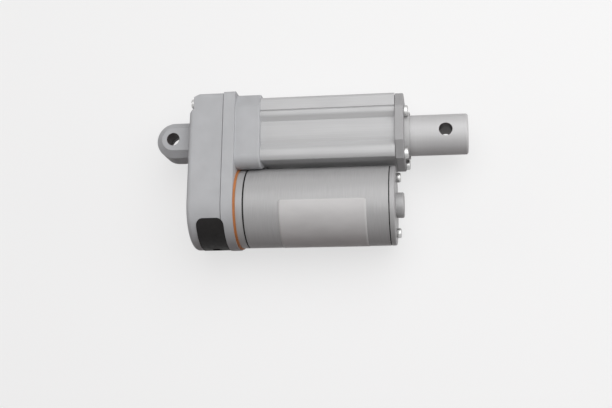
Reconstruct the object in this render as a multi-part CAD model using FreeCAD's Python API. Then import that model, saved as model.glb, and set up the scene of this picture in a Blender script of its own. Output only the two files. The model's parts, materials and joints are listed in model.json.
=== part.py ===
"""Small electric linear actuator: parallel motor, two-stage spur gearbox, lead screw and sliding rod.

Millimetres. The origin is the centre of the rear pivot hole. +X is the way the rod extends,
+Y points from the motor to the tube, and +Z runs along both pivot holes, up as the part lies on a bench.
"""
import FreeCAD
import Part
import math
import os

V = FreeCAD.Vector

# Gear train: motor pinion, two-step idler, screw gear
MODULE = 0.8
PRESSURE_ANGLE = math.radians(25)
ADDENDUM = 0.8 * MODULE
DEDENDUM = 1.05 * MODULE
BACKLASH = 0.14
PINION_TEETH = 12
IDLER_LARGE_TEETH = 38
IDLER_SMALL_TEETH = 13
SCREW_TEETH = 24
IDLER_TO_MOTOR = MODULE * (PINION_TEETH + IDLER_LARGE_TEETH) / 2
SCREW_TO_IDLER = MODULE * (IDLER_SMALL_TEETH + SCREW_TEETH) / 2
MOTOR_Y = -(IDLER_TO_MOTOR + SCREW_TO_IDLER)
IDLER_Y = -SCREW_TO_IDLER
STAGE1_X = (13.8, 18.8)
STAGE2_X = (18.8, 26.8)
SCREW_GEAR_X = (20.6, 26.6)
IDLER_PIN_R = 2.0
IDLER_PIN_SEAT = 2.3
RUN = 0.05

# Pivots
PIVOT_R = 3.2
PIVOT_SPAN = 135.0
LUG_R = 9.0
LUG_HALF = 9.0
LUG_CHAMFER = 3.3
LUG_RECESS_R = 5.5
LUG_RECESS_DEPTH = 8.0

# Gearbox cover, seam gasket and housing
COVER_X = 10.4
SEAM_X = 27.4
GASKET_T = 0.3
COVER_INSET = 0.5
GASKET_INSET = 1.3
BASE_X = SEAM_X + GASKET_T
PLATE_X = 33.4
BOX_TOP_Y = 20.9
BOX_TOP_HALF = 19.0
BOX_R = 20.6
BOX_CORNER_R = 2.5
WALL = 2.6
COVER_EDGE_R = 2.4
BOSS_R = 4.4
SEAT_X = 12.7
SEAT_Y = 12.4
SEAT_Z = 10.2
SEAT_CORNER_R = 3.0
SEAT_SLOPE = (3.1, 2.1)
COVER_SCREWS = [(16.2, 14.0), (16.2, -14.0), (MOTOR_Y - 13.5, 5.6), (MOTOR_Y - 13.5, -5.6)]
COVER_HEAD_R = 2.4
COVER_HEAD_H = 2.1
HEAD_CLEARANCE = 0.3
M3_R = 1.5
M3_CLEAR_R = 1.7
M3_DEPTH = 4.0
COLLAR_X = 45.7
COLLAR_HALF = 18.5
COLLAR_TOP_Y = 19.6
COLLAR_LOW_Y = -17.1
COLLAR_LOW_R = 5.0
COLLAR_CHAMFER_Y = 7.0
COLLAR_CHAMFER_Z = 4.5
COLLAR_EDGE_R = 0.6
SPIGOT_R = 11.5
SPIGOT_LENGTH = 2.4
SCREW_WELL_R = 8.0

# Cable grommet in the lower front of the gearbox, across the seam
GROMMET_X = (15.2, 28.8)
GROMMET_TOP_Y = -42.8
GROMMET_LOW_Z = -5.0
GROMMET_INNER_R = BOX_R - WALL
GROMMET_PROUD = 0.2
GROMMET_CORNER_R = 3.5
GROMMET_BACKING = 2.0
CABLE_R = 2.4
CABLE_DEPTH = 2.0

# Tube: extrusion trimmed over the motor, a channel down to the round core on the front and the back
TUBE_HALF = 17.0
TUBE_TOP_Y = 17.5
TUBE_LOW_Y = -14.3
TUBE_CORNER_R = 2.2
TUBE_LOW_R = 4.5
TUBE_LOW_START = -11.1
TUBE_CORE_R = 16.05
LOBE_R = 3.0
CHANNEL_TOP = 9.0
CHANNEL_LOW = -10.2
CHANNEL_TILT = math.radians(33)
GROOVE_AT = 10.4
GROOVE_HALF = 0.4
GROOVE_DEPTH = 0.5
TUBE_BORE_R = 11.6
TUBE_END_X = 110.9
PORT_Y = (9.4, -11.6)
PORT_Z = 11.0
PORT_R = 1.5
TUBE_SCREW_GRIP = 9.0
KEY_SLOT_R = 12.8
KEY_HALF = 2.0
KEY_CLEARANCE = 0.3
SWITCH_SLOT_TOP = 13.2
SWITCH_SLOT_HALF = 4.5

# End cap, wiper and rod
CAP_END_X = 115.2
CAP_HALF = 18.0
CAP_TOP_Y = 17.9
CAP_LOW_Y = -14.7
CAP_CHAMFER_Y = 7.8
CAP_CHAMFER_Z = 5.2
CAP_EDGE_R = 0.7
CAP_JOINT_T = 0.2
CAP_JOINT_INSET = 1.4
CAP_BOSS_END_X = 117.7
CAP_BOSS_R = 11.6
WIPER_R = 11.0
CAP_HEAD_R = 2.75
CAP_HEAD_H = 2.0
ROD_R = 10.0
ROD_TIP_X = 145.8
ROD_TIP_ROUND = 1.2
ROD_REAR_X = 56.0
ROD_BORE_R = 6.5
ROD_BORE_END_X = 118.0
BUSH_LENGTH = 12.0

# Drive nut
NUT_R = 11.3
NUT_FLANGE = 6.0
NUT_SPIGOT_R = 8.0
NUT_SPIGOT_LENGTH = 10.0
NUT_FLAT_Y = 10.2
NUT_PIN_R = 1.5

# Limit switches, in the slot above the nut
BOARD_X = (50.0, 96.0)
BOARD_LOW_Y = 12.2
BOARD_HALF = 4.0
SWITCH_LOW_Y = 10.5
SWITCH_HALF = (3.5, 2.6)
SWITCH_X = (57.0, 88.0)

# Lead screw and its bearing
SCREW_R = 5.0
SCREW_TIP_X = 106.0
JOURNAL_R = 4.0
JOURNAL_X = 19.7
CLIP_R = 5.2
SPACER_R = 5.6
SHOULDER_R = 5.5
SHOULDER_LENGTH = 2.0
BEARING_X = (28.5, 36.5)
BEARING_R = 11.0
BALL_TRACK_R = 7.5
BALL_R = 1.95
BALL_COUNT = 7
RACE_GROOVE_R = 2.0
OUTER_RACE_R = 8.6
INNER_RACE_R = 6.4

# Motor
MOTOR_R = 19.5
MOTOR_GASKET_R = 20.1
MOTOR_CLEARANCE = 0.2
MOTOR_FACE_X = 34.5
FRONT_PLATE_X = 37.8
CAN_X = 38.6
CAN_END_X = 107.6
BELL_X = 108.1
BELL_END_X = 110.5
BELL_BOSS_R = 6.2
BELL_BOSS_END_X = 114.3
BELL_EDGE_R = 0.8
CAN_WALL = 1.5
LINE_DEPTH = 0.9
SHAFT_R = 2.0
MOTOR_BUSH_R = 4.0
PILOT_R = 6.0
PILOT_LENGTH = 4.0
TIE_AT = 13.8
TIE_R = 1.5
TIE_TIP_X = BASE_X + 1.4
TIE_HEAD_R = 2.4
TIE_HEAD_H = 2.3
CORE_R = 11.8
CORE_X = (52.0, 92.0)
CORE_SLOTS = 5
CORE_SLOT_FLOOR = 5.5
CORE_SLOT_HALF = 2.6
CORE_TIP = 1.8
CORE_MOUTH_HALF = 0.8
WINDING_R = (4.2, 10.2)
WINDING_LENGTH = 4.5
MAGNET_R = (12.6, MOTOR_R - CAN_WALL)
MAGNET_X = (49.0, 95.0)
MAGNET_ARC = 110
COMMUTATOR_R = 5.0
COMMUTATOR_X = (97.0, 104.0)
BRUSH_X = (98.5, 102.5)
BRUSH_HALF = 2.0
BRUSH_LENGTH = 6.0
BRUSH_PLATE_R = 6.5
BRUSH_PLATE_T = 2.0

CORNERS = [(y, side * PORT_Z) for y in PORT_Y for side in (1, -1)]
TIE_Y = [MOTOR_Y + TIE_AT, MOTOR_Y - TIE_AT]


def cyl(radius, x0, x1, y=0.0, z=0.0):
    """Round bar along X."""
    return Part.makeCylinder(radius, x1 - x0, V(x0, y, z), V(1, 0, 0))


def ring(outer, inner, x0, x1, y=0.0, z=0.0):
    """Round tube along X."""
    return cyl(outer, x0, x1, y, z).cut(cyl(inner, x0, x1, y, z))


def box(x0, x1, y0, y1, z0, z1):
    return Part.makeBox(x1 - x0, y1 - y0, z1 - z0, V(x0, y0, z0))


def extrude_x(wire, x0, x1):
    """Solid from a closed wire drawn in the plane x = 0."""
    solid = Part.Face(wire).extrude(V(x1 - x0, 0, 0))
    solid.translate(V(x0, 0, 0))
    return solid


def extrude_z(points, z0, z1):
    """Solid from (x, y) points."""
    corners = [V(x, y, z0) for x, y in points]
    return Part.Face(Part.makePolygon(corners + corners[:1])).extrude(V(0, 0, z1 - z0))


def polygon(points):
    """Closed wire at x = 0 through (y, z) points."""
    corners = [V(0, y, z) for y, z in points]
    return Part.makePolygon(corners + corners[:1])


def mirrored(points):
    """Points of one half of an outline, then the same ones mirrored in z."""
    return points + [(y, -z) for y, z in reversed(points)]


def cut_all(shape, tools):
    return shape.cut(tools[0].multiFuse(tools[1:])).removeSplitter()


def edges_at(shape, test):
    """Edges whose every vertex passes the test."""
    return [e for e in shape.Edges if all(test(v.Point) for v in e.Vertexes)]


def rim(shape, x):
    """Edges of the end face at x."""
    return edges_at(shape, lambda p: abs(p.x - x) < 0.01)


def along_x(edges):
    return [e for e in edges if abs(e.Vertexes[0].X - e.Vertexes[-1].X) > 0.01]


def bend(y, z, radius, start, end):
    """Arc about (y, z) between two angles in degrees, measured from +Y to +Z."""
    turns = [math.radians(a) for a in (start, (start + end) / 2, end)]
    return Part.Arc(*[V(0, y + radius * math.cos(t), z + radius * math.sin(t)) for t in turns]).toShape()


def gear(teeth, x0, x1, y, toward):
    """Spur gear with one tooth centred on the angle `toward`, measured from +Y to +Z."""
    pitch_r = MODULE * teeth / 2
    base_r = pitch_r * math.cos(PRESSURE_ANGLE)
    root_r, tip_r = pitch_r - DEDENDUM, pitch_r + ADDENDUM

    def half_angle(radius):
        tilt = math.acos(base_r / max(radius, base_r))
        lost = math.tan(tilt) - tilt
        at_pitch = math.tan(PRESSURE_ANGLE) - PRESSURE_ANGLE
        return math.pi / (2 * teeth) - BACKLASH / (4 * pitch_r) + at_pitch - lost

    flank = [(r, half_angle(r)) for r in (root_r, max(base_r, root_r + 0.1), pitch_r, tip_r)]
    points = []
    for tooth in range(teeth):
        middle = toward + 2 * math.pi * tooth / teeth
        polar = [(r, middle - a) for r, a in flank] + [(r, middle + a) for r, a in reversed(flank)]
        points += [(y + r * math.cos(a), r * math.sin(a)) for r, a in polar]
    return extrude_x(polygon(points), x0, x1)


def pan_screw(head_r, head_h, shank_r, seat_x, tip_x, y, z):
    """Screw whose head stands on seat_x and whose shank runs to tip_x, on either side of it."""
    top_x = seat_x + math.copysign(head_h, seat_x - tip_x)
    head = cyl(head_r, min(seat_x, top_x), max(seat_x, top_x), y, z)
    head = head.makeChamfer(head_h * 0.35, rim(head, top_x))
    shank = cyl(shank_r, min(seat_x, tip_x), max(seat_x, tip_x), y, z)
    return head.fuse(shank)


def screw_set(head_r, head_h, shank_r, seat_x, tip_x, spots):
    return Part.makeCompound([pan_screw(head_r, head_h, shank_r, seat_x, tip_x, y, z) for y, z in spots])


def box_block(inset, x0, x1):
    """Length of gearbox: round below the motor axis, tapered sides, rounded long top corners."""
    radius = BOX_R - inset
    top_y, half = BOX_TOP_Y - inset, BOX_TOP_HALF - inset
    reach = math.hypot(top_y - MOTOR_Y, half)
    angle = math.atan2(half, top_y - MOTOR_Y) + math.acos(radius / reach)
    side = V(0, MOTOR_Y + radius * math.cos(angle), radius * math.sin(angle))
    far_side = V(0, side.y, -side.z)
    corner, far_corner = V(0, top_y, half), V(0, top_y, -half)
    outline = Part.Wire([
        Part.Arc(far_side, V(0, MOTOR_Y - radius, 0), side).toShape(),
        Part.makeLine(side, corner),
        Part.makeLine(corner, far_corner),
        Part.makeLine(far_corner, far_side),
    ])
    block = extrude_x(outline, x0, x1)
    long_edges = along_x(edges_at(block, lambda p: p.y > top_y - 0.01))
    return block.makeFillet(BOX_CORNER_R, long_edges)


def lug():
    """Rear pivot lug: round nose, broad chamfers, root carried into the cover."""
    root_x = COVER_X + COVER_EDGE_R
    nose = Part.makeCylinder(LUG_R, 2 * LUG_HALF, V(0, 0, -LUG_HALF))
    body = nose.fuse(box(0, root_x, -LUG_R, LUG_R, -LUG_HALF, LUG_HALF)).removeSplitter()
    rims = [
        e for e in edges_at(body, lambda p: abs(abs(p.z) - LUG_HALF) < 0.01)
        if not all(abs(v.X - root_x) < 0.01 for v in e.Vertexes)
    ]
    return body.makeChamfer(LUG_CHAMFER, rims)


def screw_seat(side):
    """Step in a top rear corner of the cover that a screw head sits on, sloped above and below the head."""
    z0, z1 = sorted((side * SEAT_Z, side * (BOX_R + 1)))
    run, rise = SEAT_SLOPE
    slope_y = BOX_TOP_Y - COVER_INSET - rise
    block = extrude_z([
        (0, SEAT_Y - SEAT_X),
        (SEAT_X, SEAT_Y),
        (SEAT_X, slope_y),
        (SEAT_X + 2 * run, slope_y + 2 * rise),
        (0, slope_y + 2 * rise),
    ], z0, z1)
    inner = edges_at(block, lambda p: p.y < SEAT_Y + 0.01 and abs(abs(p.z) - SEAT_Z) < 0.01)
    return block.makeFillet(SEAT_CORNER_R, inner)


def seat_backing(side):
    """Wall kept behind a screw seat."""
    z0, z1 = sorted((side * (SEAT_Z - WALL), side * BOX_R))
    return box(COVER_X, SEAT_X + WALL, SEAT_Y - WALL, BOX_TOP_Y, z0, z1)


def grommet_patch(outer, inner, margin):
    """Curved wall patch in the lower front quarter, rounded at its upper corners, grown by a margin."""
    x0, x1, top_y = GROMMET_X[0] - margin, GROMMET_X[1] + margin, GROMMET_TOP_Y + margin
    block = box(x0, x1, MOTOR_Y - 2 * BOX_R, top_y, GROMMET_LOW_Z - margin, 2 * BOX_R)
    upper = edges_at(block, lambda p: abs(p.y - top_y) < 0.01)
    corners = [e for e in upper if abs(e.Vertexes[0].Z - e.Vertexes[-1].Z) > 1]
    block = block.makeFillet(GROMMET_CORNER_R, corners)
    return ring(outer, inner, x0, x1, MOTOR_Y).common(block)


def cable_grommet():
    """Rubber insert with the cable's blind entry on its underside."""
    outer = BOX_R - COVER_INSET + GROMMET_PROUD
    start = V(sum(GROMMET_X) / 2, MOTOR_Y - outer + CABLE_DEPTH, 0)
    entry = Part.makeCylinder(CABLE_R, 2 * CABLE_DEPTH, start, V(0, -1, 0))
    return grommet_patch(outer, GROMMET_INNER_R, 0).cut(entry)


def gearbox_cover():
    shell = box_block(COVER_INSET, COVER_X, SEAM_X)
    shell = shell.makeFillet(COVER_EDGE_R, rim(shell, COVER_X))
    shell = cut_all(shell, [screw_seat(1), screw_seat(-1)])
    shell = shell.fuse(lug())
    hollow = box_block(WALL, COVER_X + WALL, SEAM_X)
    kept = [cyl(BOSS_R, COVER_X, SEAM_X, y, z) for y, z in COVER_SCREWS]
    kept.append(cyl(BOSS_R, COVER_X, STAGE1_X[0] - HEAD_CLEARANCE, IDLER_Y))
    kept += [seat_backing(1), seat_backing(-1)]
    kept.append(grommet_patch(BOX_R, GROMMET_INNER_R - GROMMET_BACKING, GROMMET_BACKING))
    shell = shell.cut(cut_all(hollow, kept))
    cuts = [cyl(M3_CLEAR_R, COVER_X, SEAM_X, y, z) for y, z in COVER_SCREWS]
    cuts += [cyl(COVER_HEAD_R + HEAD_CLEARANCE, 0, SEAT_X, y, z) for y, z in COVER_SCREWS]
    cuts.append(cyl(IDLER_PIN_R, STAGE1_X[0] - IDLER_PIN_SEAT, SEAM_X, IDLER_Y))
    cuts.append(Part.makeCylinder(PIVOT_R, 4 * LUG_HALF, V(0, 0, -2 * LUG_HALF)))
    cuts.append(Part.makeCylinder(LUG_RECESS_R, LUG_RECESS_DEPTH, V(0, 0, -LUG_HALF)))
    cuts.append(grommet_patch(2 * BOX_R, GROMMET_INNER_R, 0))
    return cut_all(shell, cuts)


def collar_block():
    """Block round the tube's end, chamfered along the top and scalloped over the motor."""
    top, half = COLLAR_TOP_Y, COLLAR_HALF
    points = mirrored([
        (top, half - COLLAR_CHAMFER_Z),
        (top - COLLAR_CHAMFER_Y, half),
        (COLLAR_LOW_Y, half),
    ])
    block = extrude_x(polygon(points), PLATE_X - 1, COLLAR_X)
    low_edges = along_x(edges_at(block, lambda p: p.y < COLLAR_LOW_Y + 0.01))
    block = block.makeFillet(COLLAR_LOW_R, low_edges)
    block = block.makeFillet(COLLAR_EDGE_R, rim(block, COLLAR_X))
    return block.cut(cyl(MOTOR_GASKET_R + MOTOR_CLEARANCE, PLATE_X, COLLAR_X + 1, MOTOR_Y))


def gearbox_housing():
    body = box_block(0, BASE_X, PLATE_X).fuse(collar_block())
    body = body.fuse(cyl(SPIGOT_R, COLLAR_X - 1, COLLAR_X + SPIGOT_LENGTH))
    head_r, head_x = CAP_HEAD_R + HEAD_CLEARANCE, BASE_X + CAP_HEAD_H
    cuts = [
        cyl(BEARING_R, BASE_X - 1, BEARING_X[1]),
        cyl(SCREW_WELL_R, BEARING_X[1] - 1, COLLAR_X + SPIGOT_LENGTH + 1),
        cyl(PILOT_R, BASE_X - 1, PLATE_X + 1, MOTOR_Y),
        cyl(IDLER_PIN_R, BASE_X - 1, BASE_X + IDLER_PIN_SEAT, IDLER_Y),
        grommet_patch(2 * BOX_R, GROMMET_INNER_R, 0),
    ]
    cuts += [cyl(M3_R, BASE_X - 1, BASE_X + M3_DEPTH, y, z) for y, z in COVER_SCREWS]
    cuts += [cyl(TIE_R, TIE_TIP_X, PLATE_X + 1, y) for y in TIE_Y]
    cuts += [cyl(PORT_R, BASE_X - 1, COLLAR_X + 1, y, z) for y, z in CORNERS]
    cuts += [cyl(head_r, BASE_X - 1, head_x, y, z) for y, z in CORNERS]
    return cut_all(body, cuts)


def seam_gasket():
    frame = box_block(GASKET_INSET, SEAM_X, BASE_X)
    opening = box_block(WALL, SEAM_X - 1, BASE_X + 1)
    lands = [cyl(BOSS_R, SEAM_X - 1, BASE_X + 1, y, z) for y, z in COVER_SCREWS]
    lands.append(grommet_patch(BOX_R, GROMMET_INNER_R - GROMMET_BACKING, GROMMET_BACKING))
    frame = frame.cut(cut_all(opening, lands))
    cuts = [cyl(M3_CLEAR_R, SEAM_X - 1, BASE_X + 1, y, z) for y, z in COVER_SCREWS]
    return cut_all(frame, cuts + [grommet_patch(2 * BOX_R, GROMMET_INNER_R, 0)])


def channel_wall(edge):
    """Brink and foot of the wall that runs from a lobe's face, rounded from y = edge, down to the core."""
    sine, cosine = math.sin(CHANNEL_TILT), math.cos(CHANNEL_TILT)
    y, z = edge - LOBE_R * sine, TUBE_HALF - LOBE_R * (1 - cosine)
    inward = y * cosine + z * sine
    length = inward - math.sqrt(inward ** 2 - y ** 2 - z ** 2 + TUBE_CORE_R ** 2)
    return (y, z), (y - length * cosine, z - length * sine)


def tube_outline():
    """Closed wire: flat top and bottom, and on each side a lobe, a channel down to the core, and a lobe."""
    half, top, low = TUBE_HALF, TUBE_TOP_Y, TUBE_LOW_Y
    tilt = math.degrees(CHANNEL_TILT)
    brink, foot = channel_wall(CHANNEL_TOP)
    low_brink, low_foot = [(-y, z) for y, z in channel_wall(-CHANNEL_LOW)]
    core_start, core_end = [math.degrees(math.atan2(z, y)) for y, z in (foot, low_foot)]
    low_turn = math.asin((TUBE_LOW_START - low) / TUBE_LOW_R)
    low_z = half - TUBE_LOW_R * (1 - math.cos(low_turn))
    groove_sides = [(GROOVE_AT + side * GROOVE_HALF, half) for side in (1, -1)]
    groove = [groove_sides[0], (GROOVE_AT, half - GROOVE_DEPTH), groove_sides[1]]
    runs = [
        [(top, 0), (top, half - TUBE_CORNER_R)],
        [(top - TUBE_CORNER_R, half)] + groove + [(CHANNEL_TOP, half)],
        [brink, foot],
        [low_foot, low_brink],
        [(CHANNEL_LOW, half), (TUBE_LOW_START, half)],
        [(low, low_z), (low, 0)],
    ]
    front = [Part.makeLine(V(0, *a), V(0, *b)) for run in runs for a, b in zip(run, run[1:])]
    front += [
        bend(top - TUBE_CORNER_R, half - TUBE_CORNER_R, TUBE_CORNER_R, 0, 90),
        bend(CHANNEL_TOP, half - LOBE_R, LOBE_R, 90, 90 + tilt),
        bend(0, 0, TUBE_CORE_R, core_start, core_end),
        bend(CHANNEL_LOW, half - LOBE_R, LOBE_R, 90 - tilt, 90),
        bend(TUBE_LOW_START, half - TUBE_LOW_R, TUBE_LOW_R, 90, 90 + math.degrees(low_turn)),
    ]
    back = [edge.mirror(V(0, 0, 0), V(0, 0, 1)) for edge in front]
    return Part.Wire(Part.__sortEdges__(front + back))


def outer_tube():
    body = extrude_x(tube_outline(), COLLAR_X, TUBE_END_X)
    x0, x1 = COLLAR_X - 1, TUBE_END_X + 1
    slot = KEY_HALF + KEY_CLEARANCE
    cuts = [
        cyl(TUBE_BORE_R, x0, x1),
        box(x0, x1, -slot, slot, -KEY_SLOT_R, KEY_SLOT_R),
        box(x0, x1, 0, SWITCH_SLOT_TOP, -SWITCH_SLOT_HALF, SWITCH_SLOT_HALF),
    ]
    cuts += [cyl(PORT_R, x0, x1, y, z) for y, z in CORNERS]
    return cut_all(body, cuts)


def cap_plate(inset, x0, x1):
    """Plate with four broad chamfers."""
    top, low, half = CAP_TOP_Y - inset, CAP_LOW_Y + inset, CAP_HALF - inset
    points = mirrored([
        (top, half - CAP_CHAMFER_Z),
        (top - CAP_CHAMFER_Y, half),
        (low + CAP_CHAMFER_Y, half),
        (low, half - CAP_CHAMFER_Z),
    ])
    return extrude_x(polygon(points), x0, x1)


def end_cap():
    """Plate on a smaller pad, which leaves a fine slot round the tube's end."""
    plate = cap_plate(0, TUBE_END_X + CAP_JOINT_T, CAP_END_X)
    plate = plate.makeFillet(CAP_EDGE_R, rim(plate, CAP_END_X))
    pad = cap_plate(CAP_JOINT_INSET, TUBE_END_X, CAP_END_X - 1)
    body = plate.multiFuse([pad, cyl(CAP_BOSS_R, CAP_END_X - 1, CAP_BOSS_END_X)])
    cuts = [
        cyl(ROD_R + HEAD_CLEARANCE, TUBE_END_X - 1, CAP_BOSS_END_X + 1),
        cyl(WIPER_R, CAP_END_X, CAP_BOSS_END_X + 1),
    ]
    cuts += [cyl(PORT_R, TUBE_END_X - 1, CAP_END_X + 1, y, z) for y, z in CORNERS]
    return cut_all(body, cuts)


def nut_pin_hole():
    middle_x = ROD_REAR_X + NUT_SPIGOT_LENGTH / 2
    return Part.makeCylinder(NUT_PIN_R, 4 * ROD_R, V(middle_x, 0, -2 * ROD_R))


def nut_pins():
    """Two short pins through the rod's wall into the nut's spigot."""
    wall = ring(ROD_R - 4 * RUN, SCREW_R + 0.6, ROD_REAR_X, ROD_REAR_X + NUT_SPIGOT_LENGTH)
    return nut_pin_hole().common(wall)


def push_rod():
    bar = cyl(ROD_R, ROD_REAR_X, ROD_TIP_X)
    bar = bar.makeFillet(ROD_TIP_ROUND, rim(bar, ROD_TIP_X))
    return cut_all(bar, [
        cyl(ROD_BORE_R, ROD_REAR_X - 1, ROD_BORE_END_X),
        cyl(NUT_SPIGOT_R, ROD_REAR_X - 1, ROD_REAR_X + NUT_SPIGOT_LENGTH),
        nut_pin_hole(),
        Part.makeCylinder(PIVOT_R, 4 * ROD_R, V(PIVOT_SPAN, 0, -2 * ROD_R)),
    ])


def drive_nut():
    """Flanged nut with two guide keys and a flat that passes under the switches."""
    rear_x = ROD_REAR_X - NUT_FLANGE
    reach = KEY_SLOT_R - KEY_CLEARANCE
    flange = cyl(NUT_R, rear_x, ROD_REAR_X)
    flange = flange.fuse(box(rear_x, ROD_REAR_X, -KEY_HALF, KEY_HALF, -reach, reach))
    flange = flange.cut(box(rear_x - 1, ROD_REAR_X + 1, NUT_FLAT_Y, 2 * NUT_R, -NUT_R, NUT_R))
    spigot_end = ROD_REAR_X + NUT_SPIGOT_LENGTH
    body = flange.fuse(cyl(NUT_SPIGOT_R, rear_x, spigot_end))
    return cut_all(body, [cyl(SCREW_R + RUN, rear_x - 1, spigot_end + 1), nut_pin_hole()])


def lead_screw():
    shoulder_end = BEARING_X[1] + SHOULDER_LENGTH
    thread = cyl(SCREW_R, shoulder_end, SCREW_TIP_X)
    thread = thread.makeChamfer(SCREW_R / 5, rim(thread, SCREW_TIP_X))
    journal = cyl(JOURNAL_R, JOURNAL_X, BEARING_X[1])
    return journal.multiFuse([cyl(SHOULDER_R, BEARING_X[1], shoulder_end), thread])


def bearing_race(outer, inner):
    track = Part.makeTorus(BALL_TRACK_R, RACE_GROOVE_R, V(sum(BEARING_X) / 2, 0, 0), V(1, 0, 0))
    return ring(outer, inner, *BEARING_X).cut(track)


def bearing_balls():
    turns = [2 * math.pi * i / BALL_COUNT for i in range(BALL_COUNT)]
    spots = [V(sum(BEARING_X) / 2, BALL_TRACK_R * math.cos(t), BALL_TRACK_R * math.sin(t)) for t in turns]
    return Part.makeCompound([Part.makeSphere(BALL_R, spot) for spot in spots])


def idler_gear():
    facing_pinion = math.pi + math.pi / IDLER_LARGE_TEETH
    large = gear(IDLER_LARGE_TEETH, *STAGE1_X, IDLER_Y, facing_pinion)
    small = gear(IDLER_SMALL_TEETH, *STAGE2_X, IDLER_Y, 0.0)
    return large.fuse(small).cut(cyl(IDLER_PIN_R + RUN, STAGE1_X[0] - 1, STAGE2_X[1] + 1, IDLER_Y))


def screw_gear():
    facing_idler = math.pi + math.pi / SCREW_TEETH
    wheel = gear(SCREW_TEETH, *SCREW_GEAR_X, 0.0, facing_idler)
    return wheel.cut(cyl(JOURNAL_R, SCREW_GEAR_X[0] - 1, SCREW_GEAR_X[1] + 1))


def motor_pinion():
    wheel = gear(PINION_TEETH, *STAGE1_X, MOTOR_Y, 0.0)
    return wheel.cut(cyl(SHAFT_R, STAGE1_X[0] - 1, STAGE1_X[1] + 1, MOTOR_Y))


def motor_can():
    """Drawn can with a fine line where each end piece meets it."""
    body = ring(MOTOR_R, MOTOR_R - CAN_WALL, FRONT_PLATE_X, BELL_X, MOTOR_Y)
    lines = [(FRONT_PLATE_X, CAN_X), (CAN_END_X, BELL_X)]
    return cut_all(body, [ring(MOTOR_R + 1, MOTOR_R - LINE_DEPTH, x0, x1, MOTOR_Y) for x0, x1 in lines])


def motor_front_plate():
    pilot = cyl(PILOT_R, PLATE_X - PILOT_LENGTH, MOTOR_FACE_X, MOTOR_Y)
    body = cyl(MOTOR_R, MOTOR_FACE_X, FRONT_PLATE_X, MOTOR_Y).fuse(pilot)
    cuts = [cyl(MOTOR_BUSH_R, PLATE_X - PILOT_LENGTH - 1, FRONT_PLATE_X + 1, MOTOR_Y)]
    cuts += [cyl(TIE_R, MOTOR_FACE_X - 1, FRONT_PLATE_X + 1, y) for y in TIE_Y]
    return cut_all(body, cuts)


def motor_end_bell():
    disc = cyl(MOTOR_R, BELL_X, BELL_END_X, MOTOR_Y)
    disc = disc.makeFillet(BELL_EDGE_R, rim(disc, BELL_END_X))
    boss = cyl(BELL_BOSS_R, BELL_X, BELL_BOSS_END_X, MOTOR_Y)
    boss = boss.makeFillet(BELL_EDGE_R, rim(boss, BELL_BOSS_END_X))
    cuts = [cyl(MOTOR_BUSH_R, BELL_X - 1, BELL_BOSS_END_X - 1, MOTOR_Y)]
    cuts += [cyl(TIE_R, BELL_X - 1, BELL_END_X + 1, y) for y in TIE_Y]
    return cut_all(disc.fuse(boss), cuts)


def motor_gasket():
    body = ring(MOTOR_GASKET_R, PILOT_R, PLATE_X, MOTOR_FACE_X, MOTOR_Y)
    return cut_all(body, [cyl(TIE_R, PLATE_X - 1, MOTOR_FACE_X + 1, y) for y in TIE_Y])


def magnets():
    """Two arc magnets on either side of the shaft, clear of the tie bolts."""
    whole = ring(MAGNET_R[1], MAGNET_R[0], *MAGNET_X, MOTOR_Y)
    length, start = MAGNET_X[1] - MAGNET_X[0], V(MAGNET_X[0], MOTOR_Y, 0)
    arcs = []
    for side in (90, -90):
        sector = Part.makeCylinder(MOTOR_R, length, start, V(1, 0, 0), MAGNET_ARC)
        middle = sector.CenterOfMass
        turn = side - math.degrees(math.atan2(middle.z, middle.y - MOTOR_Y))
        sector.rotate(start, V(1, 0, 0), turn)
        arcs.append(whole.common(sector))
    return Part.makeCompound(arcs)


def armature_core():
    """Slotted core: each slot is wide inside and narrow at its mouth."""
    x0, x1 = CORE_X[0] - 1, CORE_X[1] + 1
    floor_y, tip_y = MOTOR_Y + CORE_SLOT_FLOOR, MOTOR_Y + CORE_R
    cuts = [cyl(SHAFT_R, x0, x1, MOTOR_Y)]
    for i in range(CORE_SLOTS):
        slot = box(x0, x1, floor_y, tip_y - CORE_TIP, -CORE_SLOT_HALF, CORE_SLOT_HALF)
        slot = slot.fuse(box(x0, x1, floor_y, tip_y + 1, -CORE_MOUTH_HALF, CORE_MOUTH_HALF))
        slot.rotate(V(0, MOTOR_Y, 0), V(1, 0, 0), 360.0 * i / CORE_SLOTS)
        cuts.append(slot)
    return cut_all(cyl(CORE_R, *CORE_X, MOTOR_Y), cuts)


def armature_windings():
    """Copper overhang at both ends of the core, as plain rings."""
    spans = [(CORE_X[0] - WINDING_LENGTH, CORE_X[0]), (CORE_X[1], CORE_X[1] + WINDING_LENGTH)]
    return Part.makeCompound([ring(WINDING_R[1], WINDING_R[0], x0, x1, MOTOR_Y) for x0, x1 in spans])


def brushes():
    """Two carbon brushes, a running clearance off the commutator."""
    near = COMMUTATOR_R + 2 * RUN
    far = near + BRUSH_LENGTH
    low_y, high_y = MOTOR_Y - BRUSH_HALF, MOTOR_Y + BRUSH_HALF
    return Part.makeCompound([box(*BRUSH_X, low_y, high_y, *z) for z in ((near, far), (-far, -near))])


def brush_plate():
    x0, x1 = BRUSH_X[1], BRUSH_X[1] + BRUSH_PLATE_T
    plate = ring(MOTOR_R - CAN_WALL, BRUSH_PLATE_R, x0, x1, MOTOR_Y)
    return cut_all(plate, [cyl(TIE_R, x0 - 1, x1 + 1, y) for y in TIE_Y])


def limit_switch(middle_x):
    length, width = SWITCH_HALF
    return box(middle_x - length, middle_x + length, SWITCH_LOW_Y, BOARD_LOW_Y, -width, width)


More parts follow.
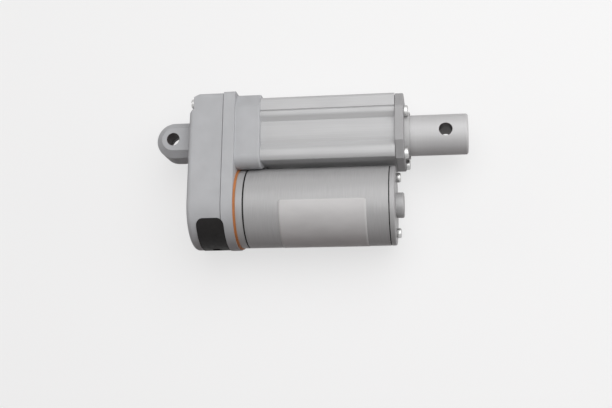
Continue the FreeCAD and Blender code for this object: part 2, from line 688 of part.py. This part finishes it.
def build():
    """Every piece by node name."""
    bush_x = PLATE_X - PILOT_LENGTH
    tube_head_x = BASE_X + CAP_HEAD_H
    tie_spots = [(y, 0.0) for y in TIE_Y]
    pin_x = (STAGE1_X[0] - IDLER_PIN_SEAT, BASE_X + IDLER_PIN_SEAT)
    m3 = (COVER_HEAD_R, COVER_HEAD_H, M3_R)
    port = (CAP_HEAD_R, CAP_HEAD_H, PORT_R)
    tie = (TIE_HEAD_R, TIE_HEAD_H, TIE_R)
    return {
        "gearbox_cover": gearbox_cover(),
        "gearbox_housing": gearbox_housing(),
        "seam_gasket": seam_gasket(),
        "cover_screws": screw_set(*m3, SEAT_X, BASE_X + M3_DEPTH, COVER_SCREWS),
        "cable_grommet": cable_grommet(),
        "outer_tube": outer_tube(),
        "tube_screws": screw_set(*port, tube_head_x, COLLAR_X + TUBE_SCREW_GRIP, CORNERS),
        "end_cap": end_cap(),
        "end_cap_screws": screw_set(*port, CAP_END_X, TUBE_END_X - TUBE_SCREW_GRIP, CORNERS),
        "wiper_seal": ring(WIPER_R, ROD_R + RUN, CAP_END_X, CAP_BOSS_END_X - 4 * RUN),
        "rod_bush": ring(TUBE_BORE_R, ROD_R + RUN, TUBE_END_X - BUSH_LENGTH, TUBE_END_X),
        "limit_switch_board": box(*BOARD_X, BOARD_LOW_Y, SWITCH_SLOT_TOP, -BOARD_HALF, BOARD_HALF),
        "rear_limit_switch": limit_switch(SWITCH_X[0]),
        "front_limit_switch": limit_switch(SWITCH_X[1]),
        "bearing_outer_race": bearing_race(BEARING_R, OUTER_RACE_R),
        "bearing_balls": bearing_balls(),
        "bearing_retainer": ring(BEARING_R, OUTER_RACE_R, BASE_X, BEARING_X[0]),
        "idler_pin": cyl(IDLER_PIN_R, *pin_x, IDLER_Y),
        "motor_gasket": motor_gasket(),
        "motor_front_plate": motor_front_plate(),
        "motor_can": motor_can(),
        "motor_end_bell": motor_end_bell(),
        "motor_tie_bolts": screw_set(*tie, BELL_END_X, TIE_TIP_X, tie_spots),
        "motor_magnets": magnets(),
        "motor_front_bush": ring(MOTOR_BUSH_R, SHAFT_R + RUN, bush_x, FRONT_PLATE_X, MOTOR_Y),
        "motor_rear_bush": ring(MOTOR_BUSH_R, SHAFT_R + RUN, BELL_X, BELL_BOSS_END_X - 1, MOTOR_Y),
        "brush_plate": brush_plate(),
        "brushes": brushes(),
        "motor_shaft": cyl(SHAFT_R, STAGE1_X[0], BELL_BOSS_END_X - 1 - HEAD_CLEARANCE, MOTOR_Y),
        "motor_pinion": motor_pinion(),
        "armature_core": armature_core(),
        "armature_windings": armature_windings(),
        "commutator": ring(COMMUTATOR_R, SHAFT_R, *COMMUTATOR_X, MOTOR_Y),
        "idler_gear": idler_gear(),
        "screw_gear": screw_gear(),
        "screw_clip": ring(CLIP_R, JOURNAL_R, JOURNAL_X, SCREW_GEAR_X[0]),
        "screw_spacer": ring(SPACER_R, JOURNAL_R, SCREW_GEAR_X[1], BEARING_X[0]),
        "bearing_inner_race": bearing_race(INNER_RACE_R, JOURNAL_R),
        "lead_screw": lead_screw(),
        "drive_nut": drive_nut(),
        "nut_pins": nut_pins(),
        "push_rod": push_rod(),
    }


os.makedirs("parts", exist_ok=True)
for node, shape in build().items():
    print("%-20s solids %d  valid %s  volume %.1f" % (node, len(shape.Solids), shape.isValid(), shape.Volume))
    shape.exportStep("parts/%s.step" % node)
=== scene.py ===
"""Dressed model of a small electric linear actuator: finishes, screws, foil, light and camera.

Sizes are in millimetres up to the moment they are used, and every object is in metres, in the part's frame.
"""
import json
import math

import bmesh
import bpy
from mathutils import Matrix, Vector


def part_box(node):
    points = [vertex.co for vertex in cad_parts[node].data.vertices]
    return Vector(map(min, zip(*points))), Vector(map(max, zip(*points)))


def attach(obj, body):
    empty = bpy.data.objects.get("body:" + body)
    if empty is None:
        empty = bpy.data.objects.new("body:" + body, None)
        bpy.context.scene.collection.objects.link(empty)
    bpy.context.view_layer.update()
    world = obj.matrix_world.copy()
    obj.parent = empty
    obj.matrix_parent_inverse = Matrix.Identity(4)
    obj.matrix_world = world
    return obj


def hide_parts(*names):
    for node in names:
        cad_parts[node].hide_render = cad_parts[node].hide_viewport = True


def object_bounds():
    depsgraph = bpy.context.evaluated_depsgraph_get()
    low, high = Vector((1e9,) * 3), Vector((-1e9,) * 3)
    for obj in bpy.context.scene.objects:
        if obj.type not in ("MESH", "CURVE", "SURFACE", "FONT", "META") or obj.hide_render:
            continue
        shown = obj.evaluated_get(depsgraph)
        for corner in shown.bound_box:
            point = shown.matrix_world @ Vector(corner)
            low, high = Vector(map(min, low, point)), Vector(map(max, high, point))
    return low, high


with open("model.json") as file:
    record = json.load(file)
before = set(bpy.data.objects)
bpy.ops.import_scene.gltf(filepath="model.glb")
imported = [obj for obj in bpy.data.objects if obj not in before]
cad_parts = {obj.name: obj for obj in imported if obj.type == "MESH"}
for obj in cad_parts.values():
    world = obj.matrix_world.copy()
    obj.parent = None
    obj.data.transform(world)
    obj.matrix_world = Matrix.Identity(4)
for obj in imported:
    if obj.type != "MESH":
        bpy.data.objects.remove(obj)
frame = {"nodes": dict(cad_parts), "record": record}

CAD_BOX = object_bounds()
MM = 0.001

# Camera of the photograph
CAMERA_AT = (133.43, -137.52, 460.54)
CAMERA_RIGHT = (0.98963, 0.00593, -0.14345)
CAMERA_UP = (0.02571, 0.97566, 0.21772)
LENS = 57.0
SENSOR = 36.0

# Lamps: where each stands, its two sides and its power in watts
LIGHT_AIM = (70.0, -20.0, 0.0)
LAMPS = {
    "key": ((220.0, 120.0, 515.0), (700.0, 800.0), 3.65),
    "upper": ((60.0, 620.0, 260.0), (1000.0, 460.0), 0.2),
    "rear": ((-560.0, 60.0, 260.0), (420.0, 300.0), 0.8),
    "side": ((620.0, 0.0, 170.0), (420.0, 220.0), 0.7),
}

# Room and floor: pale where they are seen, dim where they only light the part
PALE = (0.935, 0.935, 0.935, 1.0)
AMBIENT = (0.042, 0.028, 0.027, 1.0)
FLOOR_BOUNCE = (0.075, 0.038, 0.036, 1.0)
FLOOR_SHADOW = 0.3
FLOOR_SIZE = 6000.0

# Axis of the motor
MOTOR_Y = -34.8

# Screw sets: places as (y, z), radius and height of the heads, length of the shanks
COVER_SPOTS = [(16.2, 14.0), (16.2, -14.0), (MOTOR_Y - 13.5, 5.6), (MOTOR_Y - 13.5, -5.6)]
COVER_HEAD = (2.4, 2.1)
COVER_SHANK = 19.0
CAP_SPOTS = [(9.4, 11.0), (9.4, -11.0), (-11.6, 11.0), (-11.6, -11.0)]
CAP_HEAD = (2.75, 2.0)
CAP_SHANK = 13.3
TIE_SPOTS = [(MOTOR_Y + 13.8, 0.0), (MOTOR_Y - 13.8, 0.0)]
TIE_HEAD = (2.4, 2.3)
TIE_SHANK = 81.4

# Shank and thread of every screw, the tip as a share of the shank's radius
SCREW_SEGMENTS = 32
SHANK_R = 1.5
THREAD_PITCH = 0.5
THREAD_DEPTH = 0.25
TIP_SHARE = 0.6

# Domed head: steps of its curve, then shares of its radius and height
DOME_STEPS = 6
DOME_RISE = 0.4
DOME_TOP_R = 0.72
FOOT_HEIGHT = 0.06
FOOT_R = 0.96

# Cross recess: shares of the head's radius and height, its floor's share of its mouth, and its clearance
RECESS_REACH = 0.55
RECESS_WIDTH = 0.26
RECESS_MOUTH = 0.95
RECESS_DEPTH = 0.6
RECESS_FLOOR = 0.45
RECESS_CLEAR = 0.5

# The way a set's heads face along X
FORWARD = 1
REARWARD = -1

# How far each screw is turned, in radians, and the angle that counts as an edge on it
FIRST_TURN = 0.3
TURN_STEP = 0.7
SHARP_ANGLE = math.radians(35)

# Seal in the line at each end of the motor can
SEAL_LINES = [(37.8, 38.6), (107.6, 108.1)]
SEAL_R = (18.6, 19.2)
SEAL_SEGMENTS = 128

# Bare foil on the motor, its arc in degrees from +Z towards -Y
FOIL_X = (55.3, 97.2)
FOIL_ARC = (0.5, 108.0)
FOIL_LIFT = 0.05
FOIL_THICK = 0.06
FOIL_STEPS = 72
FOIL_COLUMNS = 40
FOIL_CORNER = 1.2

# Grain sizes along X, Y and Z: worked round X, drawn along X, plated, and the slow change of a satin surface
AROUND = (0.12, 60.0, 60.0)
ALONG = (60.0, 0.25, 0.25)
PLATED = (0.3, 9.0, 9.0)
SATIN = (14.0, 6.0, 6.0)

# The part of a noise's range that is used, and the samples of the edge shading
NOISE_USED = (0.3, 0.7)
EDGE_SAMPLES = 4

# Painted shade on the wall of the pivot holes, and the cap's boss, turned bright from just past the wiper
# seal's rear
PIVOT_SPAN = 135.0
BORE_R = 3.25
PAINTED_BORE_SHADE = (0.055, 0.04, 0.04)
BOSS_TINT = (0.52, 0.52, 0.522)
BOSS_START = 0.1

SLOT_OF = {row["node"]: row["material_slot"] for row in frame["record"]["subparts"]}


class Finish:
    """Principled material whose textures use the object's own coordinates, in metres."""

    def __init__(self, name, metallic, roughness, gloss):
        self.material = bpy.data.materials.new(name)
        self.material.use_nodes = True
        self.nodes = self.material.node_tree.nodes
        self.links = self.material.node_tree.links
        self.shader = self.nodes["Principled BSDF"]
        self.shader.inputs["Metallic"].default_value = metallic
        self.shader.inputs["Roughness"].default_value = roughness
        self.shader.inputs["Specular IOR Level"].default_value = gloss
        self.place = self.nodes.new("ShaderNodeTexCoord").outputs["Object"]
        self.base = None
        self.normal = None

    def noise(self, grain_mm, detail=3.0, rough=0.5):
        """Noise whose grain is grain_mm long along X, Y and Z."""
        mapping = self.nodes.new("ShaderNodeMapping")
        mapping.inputs["Scale"].default_value = [1 / (g * MM) for g in grain_mm]
        texture = self.nodes.new("ShaderNodeTexNoise")
        texture.inputs["Scale"].default_value = 1.0
        texture.inputs["Detail"].default_value = detail
        texture.inputs["Roughness"].default_value = rough
        self.links.new(self.place, mapping.inputs["Vector"])
        self.links.new(mapping.outputs["Vector"], texture.inputs["Vector"])
        return texture.outputs["Fac"]

    def spread(self, source, low, high):
        """The used part of a noise's range, mapped to low..high."""
        node = self.nodes.new("ShaderNodeMapRange")
        node.inputs["From Min"].default_value = NOISE_USED[0]
        node.inputs["From Max"].default_value = NOISE_USED[1]
        node.inputs["To Min"].default_value = low
        node.inputs["To Max"].default_value = high
        self.links.new(source, node.inputs["Value"])
        return node.outputs["Result"]

    def mix(self, factor):
        """Colour mix that becomes the base colour."""
        node = self.nodes.new("ShaderNodeMix")
        node.data_type = "RGBA"
        self.links.new(factor, node.inputs["Factor"])
        self.base = node.outputs["Result"]
        self.links.new(self.base, self.shader.inputs["Base Color"])
        return node

    def colour(self, source, middle, tones):
        """Base colour that runs between two tones of the middle one, darker and lighter, with the source."""
        node = self.mix(self.spread(source, 0.0, 1.0))
        for end, tone in zip("AB", tones):
            node.inputs[end].default_value = (*(min(1.0, c * tone) for c in middle), 1.0)

    def tint(self, mask, colour):
        """Gives way to a plain colour where the mask is 1."""
        under = self.base
        node = self.mix(mask)
        self.links.new(under, node.inputs["A"])
        node.inputs["B"].default_value = (*colour, 1.0)

    def past(self, x_mm, colour):
        """Tints what lies beyond x_mm along X."""
        split = self.nodes.new("ShaderNodeSeparateXYZ")
        beyond = self.nodes.new("ShaderNodeMath")
        beyond.operation = "GREATER_THAN"
        beyond.inputs[1].default_value = x_mm * MM
        self.links.new(self.place, split.inputs["Vector"])
        self.links.new(split.outputs["X"], beyond.inputs[0])
        self.tint(beyond.outputs["Value"], colour)

    def paint_bore_shade(self, x_mm):
        """Paints shade, a dark brown colour, on the wall of a pivot hole that crosses the X axis at x_mm,
        along Z.
        """
        offset = self.nodes.new("ShaderNodeVectorMath")
        offset.operation = "SUBTRACT"
        offset.inputs[1].default_value = (x_mm * MM, 0.0, 0.0)
        flat = self.nodes.new("ShaderNodeVectorMath")
        flat.operation = "MULTIPLY"
        flat.inputs[1].default_value = (1.0, 1.0, 0.0)
        reach = self.nodes.new("ShaderNodeVectorMath")
        reach.operation = "LENGTH"
        inside = self.nodes.new("ShaderNodeMath")
        inside.operation = "LESS_THAN"
        inside.inputs[1].default_value = BORE_R * MM
        self.links.new(self.place, offset.inputs[0])
        self.links.new(offset.outputs["Vector"], flat.inputs[0])
        self.links.new(flat.outputs["Vector"], reach.inputs[0])
        self.links.new(reach.outputs["Value"], inside.inputs[0])
        self.tint(inside.outputs["Value"], PAINTED_BORE_SHADE)

    def rough(self, source, low, high):
        """Roughness that runs from low to high with the source."""
        self.links.new(self.spread(source, low, high), self.shader.inputs["Roughness"])

    def shade(self, normal):
        """Takes a node's normal as the surface's own."""
        self.normal = normal
        self.links.new(normal, self.shader.inputs["Normal"])

    def round_edges(self, radius_mm):
        """Shades sharp edges as if they were broken by radius_mm."""
        node = self.nodes.new("ShaderNodeBevel")
        node.samples = EDGE_SAMPLES
        node.inputs["Radius"].default_value = radius_mm * MM
        self.shade(node.outputs["Normal"])

    def bump(self, source, height_mm, strength):
        """Small relief on top of the edges and the relief already there."""
        node = self.nodes.new("ShaderNodeBump")
        node.inputs["Strength"].default_value = strength
        node.inputs["Distance"].default_value = height_mm * MM
        self.links.new(source, node.inputs["Height"])
        if self.normal:
            self.links.new(self.normal, node.inputs["Normal"])
        self.shade(node.outputs["Normal"])


def even(grain_mm):
    """Grain of one size along X, Y and Z."""
    return (grain_mm,) * 3


def span_x(node):
    """Lowest and highest X of a node, in millimetres."""
    low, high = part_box(node)
    return low.x / MM, high.x / MM


def cast_paint():
    """Silver paint over a die casting: fine orange peel and faint clouding."""
    finish = Finish("cast_paint", metallic=0.0, roughness=0.5, gloss=0.2)
    finish.colour(finish.noise(even(9.0), detail=5.0), (0.505, 0.515, 0.53), tones=(0.95, 1.04))
    # Painted shade on the wall of the rear lug's pivot hole
    finish.paint_bore_shade(0.0)
    finish.rough(finish.noise(even(2.5)), low=0.44, high=0.58)
    finish.round_edges(radius_mm=0.25)
    finish.bump(finish.noise(even(0.35), detail=2.0), height_mm=0.02, strength=0.5)
    return finish


def drawn(name, colour, metallic, roughness, grain, line_mm, gloss=0.5, edge_mm=0.2, tones=(0.93, 1.05)):
    """Metal with fine lines whose grain sizes are given along X, Y and Z."""
    finish = Finish(name, metallic, roughness, gloss)
    lines = finish.noise(grain, detail=4.0, rough=0.6)
    finish.colour(lines, colour, tones)
    finish.rough(finish.noise(SATIN, detail=4.0), low=roughness - 0.06, high=roughness + 0.07)
    finish.round_edges(edge_mm)
    finish.bump(lines, line_mm, strength=0.5)
    return finish


def turned_rod():
    """Satin turned rod with painted shade on the wall of its pivot hole."""
    finish = drawn("turned_rod", (0.56, 0.56, 0.565), metallic=0.12, roughness=0.48, grain=AROUND,
                   line_mm=0.004, gloss=0.35, edge_mm=0.25, tones=(0.95, 1.04))
    # Painted shade on the wall of the rod's pivot hole
    finish.paint_bore_shade(PIVOT_SPAN)
    return finish


def cast_cap():
    """Cap left as cast, with the boss round the rod turned bright."""
    finish = drawn("cast_cap", (0.37, 0.37, 0.375), metallic=0.1, roughness=0.5, grain=even(0.5),
                   line_mm=0.02, gloss=0.25)
    finish.past(span_x("wiper_seal")[0] + BOSS_START, BOSS_TINT)
    return finish


def moulded(name, colour, roughness, grain_mm, bump_mm, gloss=0.5):
    """Rubber, plastic or board with a fine moulded grain."""
    finish = Finish(name, metallic=0.0, roughness=roughness, gloss=gloss)
    finish.colour(finish.noise(even(6.0), detail=4.0), colour, tones=(0.85, 1.15))
    finish.rough(finish.noise(even(2.0)), low=roughness - 0.08, high=roughness + 0.08)
    finish.round_edges(radius_mm=0.15)
    finish.bump(finish.noise(even(grain_mm), detail=2.0), bump_mm, strength=0.6)
    return finish


def foil():
    """Bare silver foil with a soft ripple from being smoothed on by hand."""
    finish = Finish("silver_foil", metallic=0.04, roughness=0.42, gloss=0.2)
    finish.colour(finish.noise((16.0, 7.0, 7.0), detail=4.0), (0.61, 0.605, 0.605), tones=(0.95, 1.04))
    finish.rough(finish.noise(even(5.0)), low=0.36, high=0.5)
    finish.bump(finish.noise((7.0, 4.0, 4.0)), height_mm=0.03, strength=0.5)
    finish.bump(finish.noise(even(0.25), detail=1.0), height_mm=0.006, strength=0.4)
    return finish


FINISHES = {
    "casting": cast_paint(),
    "tube_alloy": drawn("anodised_extrusion", (0.505, 0.508, 0.513), metallic=0.12, roughness=0.48,
                        grain=ALONG, line_mm=0.012, gloss=0.35),
    "rod_alloy": turned_rod(),
    "motor_steel": drawn("plated_steel", (0.43, 0.43, 0.433), metallic=0.16, roughness=0.36,
                         grain=PLATED, line_mm=0.006, gloss=0.05, edge_mm=0.35),
    "fastener": drawn("zinc_plate", (0.52, 0.52, 0.515), metallic=0.85, roughness=0.34,
                      grain=(0.3, 0.8, 0.8), line_mm=0.008),
    "inner_steel": drawn("ground_steel", (0.45, 0.45, 0.46), metallic=0.8, roughness=0.32,
                         grain=AROUND, line_mm=0.004),
    "orange_gasket": moulded("orange_sheet", (0.47, 0.18, 0.065), roughness=0.6, grain_mm=0.3,
                             bump_mm=0.03, gloss=0.3),
    "black_rubber": moulded("black_rubber", (0.012, 0.011, 0.011), roughness=0.62, grain_mm=0.25,
                            bump_mm=0.03, gloss=0.2),
    "bronze": drawn("sintered_bronze", (0.55, 0.36, 0.16), metallic=0.8, roughness=0.42,
                    grain=even(0.3), line_mm=0.01),
    "gear_plastic": moulded("white_acetal", (0.80, 0.79, 0.74), roughness=0.42, grain_mm=0.5, bump_mm=0.01),
    "black_plastic": moulded("black_plastic", (0.03, 0.03, 0.03), roughness=0.5, grain_mm=0.3, bump_mm=0.015),
    "board": moulded("glass_board", (0.05, 0.22, 0.09), roughness=0.45, grain_mm=0.4, bump_mm=0.008),
    "magnet": moulded("ferrite", (0.08, 0.08, 0.09), roughness=0.7, grain_mm=0.4, bump_mm=0.03),
}
CAP_FINISH = cast_cap()


def dress(obj, finish):
    """Gives an object one finish and no other."""
    obj.data.materials.clear()
    obj.data.materials.append(finish.material)


def add_object(name, bm):
    """Puts a bmesh built in metres into the scene."""
    bmesh.ops.recalc_face_normals(bm, faces=bm.faces)
    mesh = bpy.data.meshes.new(name)
    bm.to_mesh(mesh)
    bm.free()
    obj = bpy.data.objects.new(name, mesh)
    bpy.context.scene.collection.objects.link(obj)
    return obj


def new_piece(name, bm, finish):
    """Turns a bmesh into a dressed piece that rides on the housing."""
    obj = add_object(name, bm)
    dress(obj, finish)
    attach(obj, "housing")
    return obj


def bridge(bm, near, far):
    """Joins two closed loops of as many vertices with a band of faces."""
    count = len(near)
    for i in range(count):
        j = (i + 1) % count
        bm.faces.new([near[i], near[j], far[j], far[i]])


def head_profile(radius, height):
    """(along, radius) points of a pan head, from its top middle to its seat."""
    points = [(height, 0.0)]
    for i in range(DOME_STEPS + 1):
        turn = math.pi / 2 * i / DOME_STEPS
        along = height - height * DOME_RISE * (1 - math.cos(turn))
        points.append((along, radius * (DOME_TOP_R + (1 - DOME_TOP_R) * math.sin(turn))))
    return points + [(height * FOOT_HEIGHT, radius), (0.0, radius * FOOT_R)]


def shank_profile(length):
    """Ridged shank from the seat down to its tip."""
    core_r = SHANK_R - THREAD_DEPTH
    points = [(0.0, SHANK_R)]
    along = -THREAD_PITCH
    while along > -length + 2 * THREAD_PITCH:
        points += [(along, SHANK_R), (along - THREAD_PITCH / 2, core_r)]
        along -= THREAD_PITCH
    return points + [(-length + THREAD_PITCH, core_r), (-length, SHANK_R * TIP_SHARE), (-length, 0.0)]


def lathe(bm, profile, to_frame):
    """Revolves (along, radius) points about local X, closed where the radius is nothing."""
    turns = [2 * math.pi * i / SCREW_SEGMENTS for i in range(SCREW_SEGMENTS)]
    rings = []
    for along, radius in profile:
        around = turns if radius else turns[:1]
        points = [Vector((along, radius * math.cos(t), radius * math.sin(t))) for t in around]
        rings.append([bm.verts.new(to_frame @ (p * MM)) for p in points])
    for near, far in zip(rings, rings[1:]):
        for i in range(SCREW_SEGMENTS):
            j = i + 1
            corners = [near[i % len(near)], near[j % len(near)], far[j % len(far)], far[i % len(far)]]
            bm.faces.new(list(dict.fromkeys(corners))).smooth = True


def recess_cutter(bm, radius, height, to_frame):
    """Cross-shaped point that sinks into a head, wide at the top and narrow below."""
    reach = radius * RECESS_REACH
    half = radius * RECESS_WIDTH / 2
    arm = [Vector((0, reach, -half)), Vector((0, reach, half)), Vector((0, half, half))]
    quarters = [Matrix.Rotation(math.pi / 2 * i, 3, "X") for i in range(4)]
    outline = [turn @ corner for turn in quarters for corner in arm]
    levels = [
        (height + RECESS_CLEAR, 1.0),
        (height * RECESS_MOUTH, 1.0),
        (height * (1 - RECESS_DEPTH), RECESS_FLOOR),
    ]
    rings = []
    for along, share in levels:
        points = [Vector((along, p.y * share, p.z * share)) for p in outline]
        rings.append([bm.verts.new(to_frame @ (p * MM)) for p in points])
    for near, far in zip(rings, rings[1:]):
        bridge(bm, near, far)
    bm.faces.new(rings[0])
    bm.faces.new(rings[-1])


def carved(body, cutter, name):
    """Body with the cutter taken out of it, as a new bmesh."""
    solid = add_object(name, body)
    tool = add_object(name + "_cutter", cutter)
    cut = solid.modifiers.new("recess", "BOOLEAN")
    cut.operation = "DIFFERENCE"
    cut.solver = "EXACT"
    cut.object = tool
    result = bmesh.new()
    result.from_object(solid, bpy.context.evaluated_depsgraph_get())
    for obj in (solid, tool):
        mesh = obj.data
        bpy.data.objects.remove(obj)
        bpy.data.meshes.remove(mesh)
    return result


def screws(name, node, spots, facing, head, shank):
    """Pan-head screws with a cross recess that stand for one CAD set; facing is FORWARD or REARWARD."""
    low, high = span_x(node)
    head_height = head[1]
    seat_x = high - head_height if facing == FORWARD else low + head_height
    flip = Matrix.Identity(4) if facing == FORWARD else Matrix.Rotation(math.pi, 4, "Z")
    body = bmesh.new()
    cutter = bmesh.new()
    for i, (y, z) in enumerate(spots):
        spin = Matrix.Rotation(FIRST_TURN + TURN_STEP * i, 4, "X")
        to_frame = Matrix.Translation(Vector((seat_x, y, z)) * MM) @ flip @ spin
        lathe(body, head_profile(*head) + shank_profile(shank), to_frame)
        recess_cutter(cutter, *head, to_frame)
    piece = new_piece(name, carved(body, cutter, name), FINISHES["fastener"])
    piece.data.set_sharp_from_angle(angle=SHARP_ANGLE)
    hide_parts(node)


def motor_seals():
    """Black ring sunk in the line at each end of the motor can."""
    inner_r, outer_r = SEAL_R
    bm = bmesh.new()
    for x0, x1 in SEAL_LINES:
        corners = [(x0, inner_r), (x1, inner_r), (x1, outer_r), (x0, outer_r)]
        hoops = []
        for i in range(SEAL_SEGMENTS):
            turn = 2 * math.pi * i / SEAL_SEGMENTS
            spots = [Vector((x, MOTOR_Y + r * math.cos(turn), r * math.sin(turn))) for x, r in corners]
            hoops.append([bm.verts.new(spot * MM) for spot in spots])
        for near, far in zip(hoops, hoops[1:] + hoops[:1]):
            bridge(bm, near, far)
    new_piece("motor_seals", bm, FINISHES["black_rubber"])


def foil_inset(degrees, rounding):
    """How far, in millimetres, the rounded corners draw the sheet's ends in at one angle."""
    edge = min(degrees - FOIL_ARC[0], FOIL_ARC[1] - degrees)
    if edge >= rounding:
        return 0.0
    return FOIL_CORNER * (1 - math.sqrt(1 - (1 - edge / rounding) ** 2))


def foil_rows(bm, radius, centre_y, rounding):
    """Vertices of one face of the foil: a row along X for each step of its arc."""
    rows = []
    for i in range(FOIL_STEPS + 1):
        degrees = FOIL_ARC[0] + (FOIL_ARC[1] - FOIL_ARC[0]) * i / FOIL_STEPS
        inset = foil_inset(degrees, rounding)
        x0, x1 = FOIL_X[0] + inset, FOIL_X[1] - inset
        columns = [x0 + (x1 - x0) * k / FOIL_COLUMNS for k in range(FOIL_COLUMNS + 1)]
        turn = math.radians(degrees)
        y = centre_y - radius * math.sin(turn)
        z = radius * math.cos(turn)
        rows.append([bm.verts.new((x * MM, y, z)) for x in columns])
    return rows


def rim(rows):
    """Vertices at the edge of a grid, in order round it."""
    start = [row[0] for row in rows[:-1]]
    end = [row[-1] for row in reversed(rows[1:])]
    return start + rows[-1][:-1] + end + list(reversed(rows[0][1:]))


def motor_foil():
    """Thin closed sheet round the motor can, from its +Z side towards -Y."""
    low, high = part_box("motor_can")
    centre_y = (low.y + high.y) / 2
    radius = (high.y - low.y) / 2 + FOIL_LIFT * MM
    rounding = math.degrees(FOIL_CORNER * MM / radius)
    bm = bmesh.new()
    under = foil_rows(bm, radius, centre_y, rounding)
    over = foil_rows(bm, radius + FOIL_THICK * MM, centre_y, rounding)
    for rows in (under, over):
        for near, far in zip(rows, rows[1:]):
            for k in range(FOIL_COLUMNS):
                bm.faces.new([near[k], near[k + 1], far[k + 1], far[k]]).smooth = True
    bridge(bm, rim(under), rim(over))
    new_piece("motor_foil", bm, foil())


def area_light(name, at, size, power):
    """Rectangular lamp that faces the part."""
    data = bpy.data.lights.new(name, "AREA")
    data.shape = "RECTANGLE"
    data.size, data.size_y = (s * MM for s in size)
    data.energy = power
    lamp = bpy.data.objects.new(name, data)
    lamp.location = Vector(at) * MM
    lamp.rotation_euler = (Vector(LIGHT_AIM) * MM - lamp.location).to_track_quat("-Z", "Y").to_euler()
    bpy.context.scene.collection.objects.link(lamp)


def seen_rays(nodes, links):
    """1 for rays that show the backdrop: from the camera, or by way of metal or glass."""
    path = nodes.new("ShaderNodeLightPath")
    total = path.outputs["Is Camera Ray"]
    for name in ("Is Glossy Ray", "Is Transmission Ray"):
        node = nodes.new("ShaderNodeMath")
        node.operation = "MAXIMUM"
        links.new(total, node.inputs[0])
        links.new(path.outputs[name], node.inputs[1])
        total = node.outputs["Value"]
    return total


def show_where_seen(tree, output, dim, pale):
    """Sends the pale shader to the output for rays that show it, and the dim one for the rest."""
    choice = tree.nodes.new("ShaderNodeMixShader")
    tree.links.new(seen_rays(tree.nodes, tree.links), choice.inputs["Fac"])
    tree.links.new(dim, choice.inputs[1])
    tree.links.new(pale, choice.inputs[2])
    tree.links.new(choice.outputs["Shader"], tree.nodes[output].inputs["Surface"])


def floor_material():
    """Pale sheet that glows and takes some shadow where it is seen, and throws little light back."""
    material = bpy.data.materials.new("pale_floor")
    material.use_nodes = True
    tree = material.node_tree
    tree.nodes.remove(tree.nodes["Principled BSDF"])
    bounce = tree.nodes.new("ShaderNodeBsdfDiffuse")
    bounce.inputs["Color"].default_value = FLOOR_BOUNCE
    sheet = tree.nodes.new("ShaderNodeBsdfDiffuse")
    sheet.inputs["Color"].default_value = PALE
    glow = tree.nodes.new("ShaderNodeEmission")
    glow.inputs["Color"].default_value = PALE
    shown = tree.nodes.new("ShaderNodeMixShader")
    shown.inputs["Fac"].default_value = FLOOR_SHADOW
    tree.links.new(glow.outputs["Emission"], shown.inputs[1])
    tree.links.new(sheet.outputs["BSDF"], shown.inputs[2])
    show_where_seen(tree, "Material Output", bounce.outputs["BSDF"], shown.outputs["Shader"])
    return material


def pale_floor(level):
    """Square floor at the given height, in metres."""
    half = FLOOR_SIZE * MM / 2
    bm = bmesh.new()
    corners = [(-half, -half), (half, -half), (half, half), (-half, half)]
    bm.faces.new([bm.verts.new((x, y, level)) for x, y in corners])
    floor = add_object("floor", bm)
    floor.data.materials.append(floor_material())


def surroundings():
    """Dim light of the room, and its pale walls where they are seen."""
    world = bpy.data.worlds.new("room")
    world.use_nodes = True
    tree = world.node_tree
    dim = tree.nodes["Background"]
    dim.inputs["Color"].default_value = AMBIENT
    pale = tree.nodes.new("ShaderNodeBackground")
    pale.inputs["Color"].default_value = PALE
    show_where_seen(tree, "World Output", dim.outputs["Background"], pale.outputs["Background"])
    bpy.context.scene.world = world


def photo_camera():
    """Camera fitted to the photograph."""
    right, up = Vector(CAMERA_RIGHT), Vector(CAMERA_UP)
    back = right.cross(up)
    data = bpy.data.cameras.new("camera")
    data.lens = LENS
    data.sensor_width = SENSOR
    camera = bpy.data.objects.new("camera", data)
    turn = Matrix((right, up, back)).transposed().to_4x4()
    camera.matrix_world = Matrix.Translation(Vector(CAMERA_AT) * MM) @ turn
    bpy.context.scene.collection.objects.link(camera)
    bpy.context.scene.camera = camera


for node, obj in frame["nodes"].items():
    dress(obj, CAP_FINISH if node == "end_cap" else FINISHES[SLOT_OF[node]])

screws("cover_fixings", "cover_screws", COVER_SPOTS, REARWARD, COVER_HEAD, COVER_SHANK)
screws("cap_fixings", "end_cap_screws", CAP_SPOTS, FORWARD, CAP_HEAD, CAP_SHANK)
screws("tie_fixings", "motor_tie_bolts", TIE_SPOTS, FORWARD, TIE_HEAD, TIE_SHANK)
motor_seals()
motor_foil()

surroundings()
pale_floor(CAD_BOX[0].z)
for name, (at, size, power) in LAMPS.items():
    area_light(name, at, size, power)
photo_camera()
bpy.context.scene.view_settings.view_transform = "Standard"
